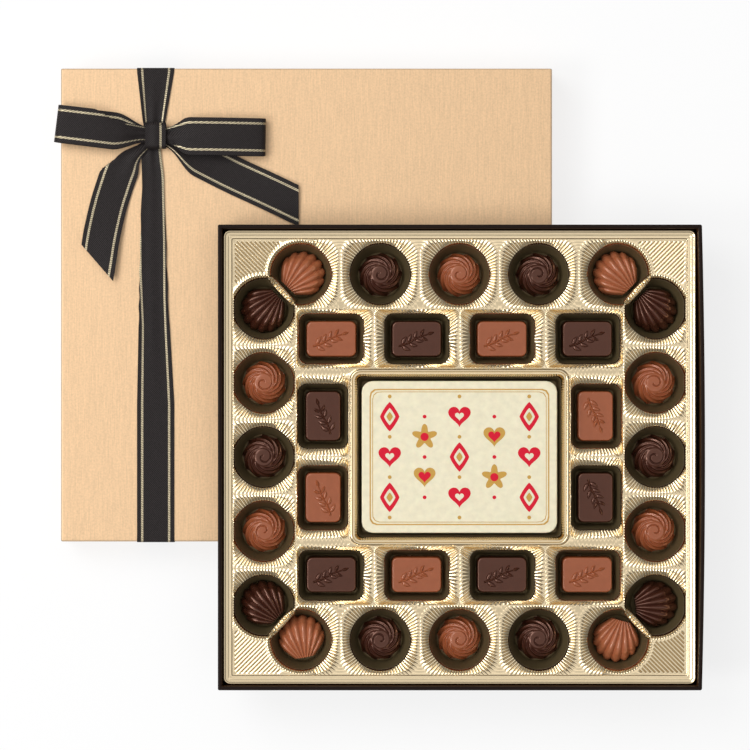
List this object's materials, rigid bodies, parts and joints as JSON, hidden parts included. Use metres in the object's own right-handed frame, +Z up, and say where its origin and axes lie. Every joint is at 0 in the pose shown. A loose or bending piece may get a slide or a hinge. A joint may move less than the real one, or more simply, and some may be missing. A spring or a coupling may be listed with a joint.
{
  "type": "chocolate box",
  "caption": "Two-piece rigid gift box: ribboned gold lid lying flat, and on it the open dark base with a formed gold tray of moulded chocolates that lift out.",
  "frame": {"origin": "middle of the whole arrangement's box, on the surface that the lid lies on", "axes": "+Z up, +X to the right and +Y to the back of the open base, as seen from above"},
  "size_m": [0.3796, 0.3648, 0.056],
  "materials": {
    "greyboard": "matt unlined board",
    "gold_paper": "satin champagne gold paper with a fine brushed grain",
    "dark_paper": "satin dark brown paper",
    "gold_tray": "mirror gold metallised sheet",
    "ribbon": "black satin ribbon with two gold metallic stripes",
    "milk_chocolate": "satin milk chocolate",
    "dark_chocolate": "satin dark chocolate",
    "white_chocolate": "satin white chocolate with a printed pattern"
  },
  "bodies": {
    "lid": {"bow_knot": "ribbon", "bow_loop_left": "ribbon", "bow_loop_right": "ribbon", "bow_tail_left": "ribbon", "bow_tail_right": "ribbon", "lid_board": "greyboard", "lid_wrap": "gold_paper", "ribbon_band": "ribbon"},
    "base": {"base_board": "greyboard", "base_liner": "dark_paper", "base_wrap": "dark_paper"},
    "tray": {"tray": "gold_tray"},
    "plaque": {"plaque_slab": "dark_chocolate", "plaque_face": "white_chocolate"},
    "dark_shell_back_left": {"dark_shell_back_left": "dark_chocolate"},
    "dark_shell_back_right": {"dark_shell_back_right": "dark_chocolate"},
    "dark_shell_front_left": {"dark_shell_front_left": "dark_chocolate"},
    "dark_shell_front_right": {"dark_shell_front_right": "dark_chocolate"},
    "dark_swirl_back_1": {"dark_swirl_back_1": "dark_chocolate"},
    "dark_swirl_back_3": {"dark_swirl_back_3": "dark_chocolate"},
    "dark_swirl_front_1": {"dark_swirl_front_1": "dark_chocolate"},
    "dark_swirl_front_3": {"dark_swirl_front_3": "dark_chocolate"},
    "dark_swirl_left_2": {"dark_swirl_left_2": "dark_chocolate"},
    "dark_swirl_right_2": {"dark_swirl_right_2": "dark_chocolate"},
    "dark_tile_back_2": {"dark_tile_back_2": "dark_chocolate"},
    "dark_tile_back_4": {"dark_tile_back_4": "dark_chocolate"},
    "dark_tile_front_1": {"dark_tile_front_1": "dark_chocolate"},
    "dark_tile_front_3": {"dark_tile_front_3": "dark_chocolate"},
    "dark_tile_left_1": {"dark_tile_left_1": "dark_chocolate"},
    "dark_tile_right_2": {"dark_tile_right_2": "dark_chocolate"},
    "milk_shell_back_left": {"milk_shell_back_left": "milk_chocolate"},
    "milk_shell_back_right": {"milk_shell_back_right": "milk_chocolate"},
    "milk_shell_front_left": {"milk_shell_front_left": "milk_chocolate"},
    "milk_shell_front_right": {"milk_shell_front_right": "milk_chocolate"},
    "milk_swirl_back_2": {"milk_swirl_back_2": "milk_chocolate"},
    "milk_swirl_front_2": {"milk_swirl_front_2": "milk_chocolate"},
    "milk_swirl_left_1": {"milk_swirl_left_1": "milk_chocolate"},
    "milk_swirl_left_3": {"milk_swirl_left_3": "milk_chocolate"},
    "milk_swirl_right_1": {"milk_swirl_right_1": "milk_chocolate"},
    "milk_swirl_right_3": {"milk_swirl_right_3": "milk_chocolate"},
    "milk_tile_back_1": {"milk_tile_back_1": "milk_chocolate"},
    "milk_tile_back_3": {"milk_tile_back_3": "milk_chocolate"},
    "milk_tile_front_2": {"milk_tile_front_2": "milk_chocolate"},
    "milk_tile_front_4": {"milk_tile_front_4": "milk_chocolate"},
    "milk_tile_left_2": {"milk_tile_left_2": "milk_chocolate"},
    "milk_tile_right_1": {"milk_tile_right_1": "milk_chocolate"}
  },
  "joints": [
    {"name": "lift_base", "type": "slide", "parent": "lid", "child": "base", "axis": [0, 0, 1], "range_m": [0, 0.06]},
    {"name": "lift_tray", "type": "slide", "parent": "base", "child": "tray", "axis": [0, 0, 1], "range_m": [0, 0.04]},
    {"name": "pick_plaque", "type": "slide", "parent": "tray", "child": "plaque", "axis": [0, 0, 1], "range_m": [0, 0.035]},
    {"name": "pick_dark_shell_back_left", "type": "slide", "parent": "tray", "child": "dark_shell_back_left", "axis": [0, 0, 1], "range_m": [0, 0.035]},
    {"name": "pick_dark_shell_back_right", "type": "slide", "parent": "tray", "child": "dark_shell_back_right", "axis": [0, 0, 1], "range_m": [0, 0.035]},
    {"name": "pick_dark_shell_front_left", "type": "slide", "parent": "tray", "child": "dark_shell_front_left", "axis": [0, 0, 1], "range_m": [0, 0.035]},
    {"name": "pick_dark_shell_front_right", "type": "slide", "parent": "tray", "child": "dark_shell_front_right", "axis": [0, 0, 1], "range_m": [0, 0.035]},
    {"name": "pick_dark_swirl_back_1", "type": "slide", "parent": "tray", "child": "dark_swirl_back_1", "axis": [0, 0, 1], "range_m": [0, 0.035]},
    {"name": "pick_dark_swirl_back_3", "type": "slide", "parent": "tray", "child": "dark_swirl_back_3", "axis": [0, 0, 1], "range_m": [0, 0.035]},
    {"name": "pick_dark_swirl_front_1", "type": "slide", "parent": "tray", "child": "dark_swirl_front_1", "axis": [0, 0, 1], "range_m": [0, 0.035]},
    {"name": "pick_dark_swirl_front_3", "type": "slide", "parent": "tray", "child": "dark_swirl_front_3", "axis": [0, 0, 1], "range_m": [0, 0.035]},
    {"name": "pick_dark_swirl_left_2", "type": "slide", "parent": "tray", "child": "dark_swirl_left_2", "axis": [0, 0, 1], "range_m": [0, 0.035]},
    {"name": "pick_dark_swirl_right_2", "type": "slide", "parent": "tray", "child": "dark_swirl_right_2", "axis": [0, 0, 1], "range_m": [0, 0.035]},
    {"name": "pick_dark_tile_back_2", "type": "slide", "parent": "tray", "child": "dark_tile_back_2", "axis": [0, 0, 1], "range_m": [0, 0.035]},
    {"name": "pick_dark_tile_back_4", "type": "slide", "parent": "tray", "child": "dark_tile_back_4", "axis": [0, 0, 1], "range_m": [0, 0.035]},
    {"name": "pick_dark_tile_front_1", "type": "slide", "parent": "tray", "child": "dark_tile_front_1", "axis": [0, 0, 1], "range_m": [0, 0.035]},
    {"name": "pick_dark_tile_front_3", "type": "slide", "parent": "tray", "child": "dark_tile_front_3", "axis": [0, 0, 1], "range_m": [0, 0.035]},
    {"name": "pick_dark_tile_left_1", "type": "slide", "parent": "tray", "child": "dark_tile_left_1", "axis": [0, 0, 1], "range_m": [0, 0.035]},
    {"name": "pick_dark_tile_right_2", "type": "slide", "parent": "tray", "child": "dark_tile_right_2", "axis": [0, 0, 1], "range_m": [0, 0.035]},
    {"name": "pick_milk_shell_back_left", "type": "slide", "parent": "tray", "child": "milk_shell_back_left", "axis": [0, 0, 1], "range_m": [0, 0.035]},
    {"name": "pick_milk_shell_back_right", "type": "slide", "parent": "tray", "child": "milk_shell_back_right", "axis": [0, 0, 1], "range_m": [0, 0.035]},
    {"name": "pick_milk_shell_front_left", "type": "slide", "parent": "tray", "child": "milk_shell_front_left", "axis": [0, 0, 1], "range_m": [0, 0.035]},
    {"name": "pick_milk_shell_front_right", "type": "slide", "parent": "tray", "child": "milk_shell_front_right", "axis": [0, 0, 1], "range_m": [0, 0.035]},
    {"name": "pick_milk_swirl_back_2", "type": "slide", "parent": "tray", "child": "milk_swirl_back_2", "axis": [0, 0, 1], "range_m": [0, 0.035]},
    {"name": "pick_milk_swirl_front_2", "type": "slide", "parent": "tray", "child": "milk_swirl_front_2", "axis": [0, 0, 1], "range_m": [0, 0.035]},
    {"name": "pick_milk_swirl_left_1", "type": "slide", "parent": "tray", "child": "milk_swirl_left_1", "axis": [0, 0, 1], "range_m": [0, 0.035]},
    {"name": "pick_milk_swirl_left_3", "type": "slide", "parent": "tray", "child": "milk_swirl_left_3", "axis": [0, 0, 1], "range_m": [0, 0.035]},
    {"name": "pick_milk_swirl_right_1", "type": "slide", "parent": "tray", "child": "milk_swirl_right_1", "axis": [0, 0, 1], "range_m": [0, 0.035]},
    {"name": "pick_milk_swirl_right_3", "type": "slide", "parent": "tray", "child": "milk_swirl_right_3", "axis": [0, 0, 1], "range_m": [0, 0.035]},
    {"name": "pick_milk_tile_back_1", "type": "slide", "parent": "tray", "child": "milk_tile_back_1", "axis": [0, 0, 1], "range_m": [0, 0.035]},
    {"name": "pick_milk_tile_back_3", "type": "slide", "parent": "tray", "child": "milk_tile_back_3", "axis": [0, 0, 1], "range_m": [0, 0.035]},
    {"name": "pick_milk_tile_front_2", "type": "slide", "parent": "tray", "child": "milk_tile_front_2", "axis": [0, 0, 1], "range_m": [0, 0.035]},
    {"name": "pick_milk_tile_front_4", "type": "slide", "parent": "tray", "child": "milk_tile_front_4", "axis": [0, 0, 1], "range_m": [0, 0.035]},
    {"name": "pick_milk_tile_left_2", "type": "slide", "parent": "tray", "child": "milk_tile_left_2", "axis": [0, 0, 1], "range_m": [0, 0.035]},
    {"name": "pick_milk_tile_right_1", "type": "slide", "parent": "tray", "child": "milk_tile_right_1", "axis": [0, 0, 1], "range_m": [0, 0.035]}
  ]
}
